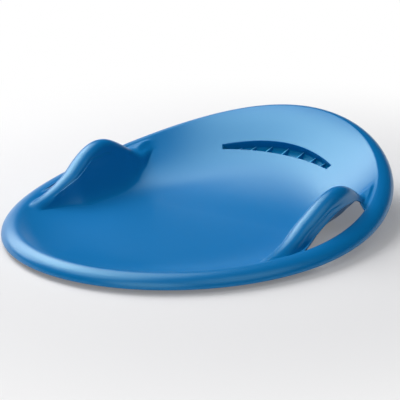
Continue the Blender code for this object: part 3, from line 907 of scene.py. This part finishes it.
def paint_highlight_on_tops(material, up):
    """Painted highlight: a paler colour where the surface faces the direction up, standing in for
    the light on the ribs' tops.
    """
    nodes = material.node_tree.nodes
    links = material.node_tree.links
    shader = nodes["Principled BSDF"]
    plain = shader.inputs["Base Color"].links[0].from_socket
    place = nodes.new("ShaderNodeTexCoord")
    facing = nodes.new("ShaderNodeVectorMath")
    facing.operation = "DOT_PRODUCT"
    facing.inputs[1].default_value = up
    links.new(place.outputs["Normal"], facing.inputs[0])
    reach = nodes.new("ShaderNodeMapRange")
    reach.inputs["From Min"].default_value = RIB_PAINTED_HIGHLIGHT_FACING[0]
    reach.inputs["From Max"].default_value = RIB_PAINTED_HIGHLIGHT_FACING[1]
    links.new(facing.outputs["Value"], reach.inputs["Value"])
    # Mix of the painted highlight into the base colour
    painted_highlight_mix = nodes.new("ShaderNodeMix")
    painted_highlight_mix.data_type = "RGBA"
    painted_highlight_mix.inputs[7].default_value = RIB_PAINTED_HIGHLIGHT_COLOUR
    links.new(reach.outputs["Result"], painted_highlight_mix.inputs[0])
    links.new(plain, painted_highlight_mix.inputs[6])
    links.new(painted_highlight_mix.outputs[2], shader.inputs["Base Color"])


for number, node in enumerate(PIECES):
    solid, top, low = build_shell(number)
    if node == "seat_pan":
        add_floor(solid, top, low, 0, CUT)
    if node == "backrest":
        add_floor(solid, top, low, CUT, LAST)
    finish_piece(solid.build(node + "_moulding"), node, SHELL_BLUE)


def slot_field(field, line):
    """Values of a field along one edge of the slot, from the left end to the right."""
    ks = range(COUNT - SLOT_END, SLOT_END - 1, -1)
    return np.array([field[k, line] for k in ks])


def build_pocket():
    """Recess of the slot: its walls start under the rounded edge and turn into its floor."""
    solid = Solid()
    loop, ks = slot_loop()
    floor = SLOT_DEPTH - SLOT_WALL
    inner = POCKET_STEPS + 1
    outer = inner + 1
    rows = []
    for k, j in loop:
        down = NORMALS[k, j].copy()
        down[0] = 0.0
        down = -unit(down)
        into = POINTS[k, SLOT_LOW if j == SLOT_HIGH else SLOT_HIGH] - POINTS[k, j]
        if j not in (SLOT_HIGH, SLOT_LOW):
            into = np.zeros(3)
        into = unit(into) if np.linalg.norm(into) > 0 else into
        if k == ks[0]:
            into = into + unit(POINTS[k + 1, j] - POINTS[k, j])
        if k == ks[-1]:
            into = into + unit(POINTS[k - 1, j] - POINTS[k, j])
        profile = [POINTS[k, j] + down * (WALL / 2.0)]
        for m in range(POCKET_STEPS + 1):
            a = math.pi / 2.0 * m / POCKET_STEPS
            profile.append(POINTS[k, j] + down * (floor - SLOT_FLOOR_FILLET * (1.0 - math.sin(a)))
                           + into * SLOT_FLOOR_FILLET * (1.0 - math.cos(a)))
        profile.append(POINTS[k, j] + down * SLOT_DEPTH - into * SLOT_WALL)
        profile.append(POINTS[k, j] + down * (WALL / 2.0) - into * SLOT_WALL)
        rows.append(profile)
    n = len(rows)
    for i in range(n):
        a = rows[i]
        b = rows[(i + 1) % n]
        for m in range(len(a)):
            q = (m + 1) % len(a)
            if m == inner:
                continue
            solid.face([solid.point((i, m), a[m]), solid.point((i, q), a[q]),
                        solid.point(((i + 1) % n, q), b[q]), solid.point(((i + 1) % n, m), b[m])])
    ends = SLOT_LOW - SLOT_HIGH - 1
    width = len(ks)
    for m, flip in ((inner, False), (outer, True)):
        for i in range(width - 1):
            upper = (i, i + 1)
            lower = (2 * width + ends - 2 - i, 2 * width + ends - 1 - i)
            corners = [(upper[0], m), (upper[1], m), (lower[0], m), (lower[1], m)]
            numbers = [solid.index[c] for c in corners]
            solid.face(numbers[::-1] if flip else numbers)
        for side in (0, 1):
            first = width - 1 if side == 0 else 2 * width + ends - 1
            fan = [solid.index[((first + q) % n, m)] for q in range(ends + 2)]
            solid.face(fan[::-1] if not flip else fan)
    return solid.build("hand_slot_pocket_moulding")


finish_piece(build_pocket(), "hand_slot_pocket", SLOT_BLUE_PAINTED_LIGHTER)

# Each edge of the slot with the normals along it and the depth of the ribs' tops below it
SLOT_EDGES = (
    (slot_field(POINTS, SLOT_LOW), slot_field(NORMALS, SLOT_LOW), RIB_SINK_LOW),
    (slot_field(POINTS, SLOT_HIGH), slot_field(NORMALS, SLOT_HIGH), RIB_SINK_HIGH),
)
# Direction in which the ribs' tops face, which gets the painted highlight
RIB_UP = unit(SLOT_EDGES[0][1].mean(axis=0) * np.array([0.0, 1.0, 1.0]))
paint_highlight_on_tops(RIB_BLUE_PAINTED_LIGHT, tuple(float(c) for c in RIB_UP))


def at_x(field, edge, x):
    """Value of a field where the slot's edge passes x."""
    return np.array([np.interp(x, edge[:, 0], field[:, c]) for c in range(3)])


def build_rib(number, x):
    """Thin upright rib with a rounded top, from the slot's lower wall to its upper wall."""
    solid = Solid()
    corners = []
    for edge, field, sink in SLOT_EDGES:
        here = at_x(edge, edge, x)
        here[0] = x
        normal = at_x(field, edge, x)
        normal[0] = 0.0
        normal = unit(normal)
        corners.append((here - normal * sink, here - normal * (SLOT_DEPTH - SLOT_WALL), normal))
    half = RIB_THICKNESS / 2.0
    rows = []
    for f in np.linspace(0.0, 1.0, RIB_ROWS):
        head = corners[0][0] + (corners[1][0] - corners[0][0]) * f
        foot = corners[0][1] + (corners[1][1] - corners[0][1]) * f
        up = unit(corners[0][2] + (corners[1][2] - corners[0][2]) * f)
        row = [foot + np.array([half, 0.0, 0.0])]
        for m in range(RIB_ROUND_STEPS + 1):
            a = math.pi * m / RIB_ROUND_STEPS
            beside = np.array([half * math.cos(a), 0.0, 0.0])
            row.append(head + beside - up * half * (1.0 - math.sin(a)))
        row.append(foot - np.array([half, 0.0, 0.0]))
        rows.append(row)
    count = len(rows[0])
    for i in range(len(rows) - 1):
        for m in range(count):
            q = (m + 1) % count
            ring = ((i, m), (i + 1, m), (i + 1, q), (i, q))
            solid.face([solid.point((a, b), rows[a][b]) for a, b in ring])
    solid.face([solid.index[(0, m)] for m in range(count)])
    solid.face([solid.index[(len(rows) - 1, m)] for m in reversed(range(count))])
    return solid.build("slot_rib_%d_moulding" % number)


last_rib = (RIB_COUNT - 1) // 2
end_x = POINTS[SLOT_END, SLOT_LOW][0] - RIB_END_MARGIN
for rib in range(RIB_COUNT):
    share = math.sin((rib - last_rib) * RIB_PITCH) / math.sin(last_rib * RIB_PITCH)
    piece = build_rib(rib + 1, end_x * share)
    finish_piece(piece, "slot_rib_%d" % (rib + 1), RIB_BLUE_PAINTED_LIGHT)


def direction(azimuth, elevation):
    """Unit vector from the sled to a place seen at these angles, azimuth 0 being its front."""
    return Vector((math.sin(azimuth) * math.cos(elevation),
                   -math.cos(azimuth) * math.cos(elevation),
                   math.sin(elevation)))


back = direction(AZIMUTH, ELEVATION)
right = Vector((math.cos(AZIMUTH), math.sin(AZIMUTH), 0.0))
up = back.cross(right)
turn = Matrix((right, up, back)).transposed().to_4x4()
camera_data = bpy.data.cameras.new("camera")
camera_data.sensor_width = SENSOR
camera_data.lens = LENS
camera_data.shift_x = LENS_SHIFT[0]
camera_data.shift_y = LENS_SHIFT[1]
camera_data.clip_end = CLIP_END
camera = bpy.data.objects.new("camera", camera_data)
camera.matrix_world = Matrix.Translation(AIM + back * DISTANCE) @ turn
bpy.context.collection.objects.link(camera)
bpy.context.scene.camera = camera


def area_lamp(name, place, size, power):
    data = bpy.data.lights.new(name, "AREA")
    data.shape = "DISK"
    data.size = size
    data.energy = power
    lamp = bpy.data.objects.new(name, data)
    lamp.location = place
    lamp.rotation_euler = (LAMP_AIM - place).to_track_quat("-Z", "Y").to_euler()
    bpy.context.collection.objects.link(lamp)


for name, azimuth, elevation, size, power in LAMPS:
    place = direction(math.radians(azimuth), math.radians(elevation)) * LAMP_DISTANCE
    area_lamp(name, place, size, power)


def pale_floor():
    """Matt pale floor with low walls, which turns plain white to the eye far from the sled."""
    mesh = bpy.data.meshes.new("floor")
    reach = FLOOR_REACH
    square = [(-reach, -reach), (reach, -reach), (reach, reach), (-reach, reach)]
    points = [(x, y, z) for z in (0.0, FLOOR_WALLS) for x, y in square]
    walls = [((i + 1) % 4, i, i + 4, (i + 1) % 4 + 4) for i in range(4)]
    mesh.from_pydata(points, [], [(0, 1, 2, 3)] + walls)
    floor = bpy.data.objects.new("floor", mesh)
    floor.location.z = -FLOOR_GAP
    bpy.context.collection.objects.link(floor)
    material = bpy.data.materials.new("floor_paper")
    material.use_nodes = True
    nodes = material.node_tree.nodes
    links = material.node_tree.links
    shader = nodes["Principled BSDF"]
    shader.inputs["Base Color"].default_value = FLOOR_COLOUR
    shader.inputs["Roughness"].default_value = FLOOR_ROUGHNESS
    shader.inputs["Specular IOR Level"].default_value = FLOOR_SHINE
    place = nodes.new("ShaderNodeTexCoord")
    away = nodes.new("ShaderNodeVectorMath")
    away.operation = "LENGTH"
    links.new(place.outputs["Object"], away.inputs[0])
    fade = nodes.new("ShaderNodeMapRange")
    fade.inputs["From Min"].default_value = WHITE_START
    fade.inputs["From Max"].default_value = WHITE_END
    fade.inputs["To Min"].default_value = WHITE_NEAR
    fade.interpolation_type = "SMOOTHSTEP"
    links.new(away.outputs["Value"], fade.inputs["Value"])
    # The white is only for camera, glossy and transmission rays, so it doesn't light the sled
    path = nodes.new("ShaderNodeLightPath")
    mirrored_ray = nodes.new("ShaderNodeMath")
    mirrored_ray.operation = "MAXIMUM"
    links.new(path.outputs["Is Glossy Ray"], mirrored_ray.inputs[0])
    links.new(path.outputs["Is Transmission Ray"], mirrored_ray.inputs[1])
    seen = nodes.new("ShaderNodeMath")
    seen.operation = "MAXIMUM"
    links.new(path.outputs["Is Camera Ray"], seen.inputs[0])
    links.new(mirrored_ray.outputs[0], seen.inputs[1])
    share = nodes.new("ShaderNodeMath")
    share.operation = "MULTIPLY"
    links.new(seen.outputs[0], share.inputs[0])
    links.new(fade.outputs["Result"], share.inputs[1])
    white = nodes.new("ShaderNodeEmission")
    mix = nodes.new("ShaderNodeMixShader")
    links.new(share.outputs[0], mix.inputs[0])
    links.new(shader.outputs[0], mix.inputs[1])
    links.new(white.outputs[0], mix.inputs[2])
    links.new(mix.outputs[0], nodes["Material Output"].inputs["Surface"])
    mesh.materials.append(material)


pale_floor()

world = bpy.data.worlds.new("studio")
bpy.context.scene.world = world
world.use_nodes = True
room = world.node_tree.nodes["Background"]
room.inputs["Color"].default_value = (1.0, 1.0, 1.0, 1.0)
room.inputs["Strength"].default_value = WORLD_STRENGTH

bpy.context.scene.view_settings.view_transform = "Standard"
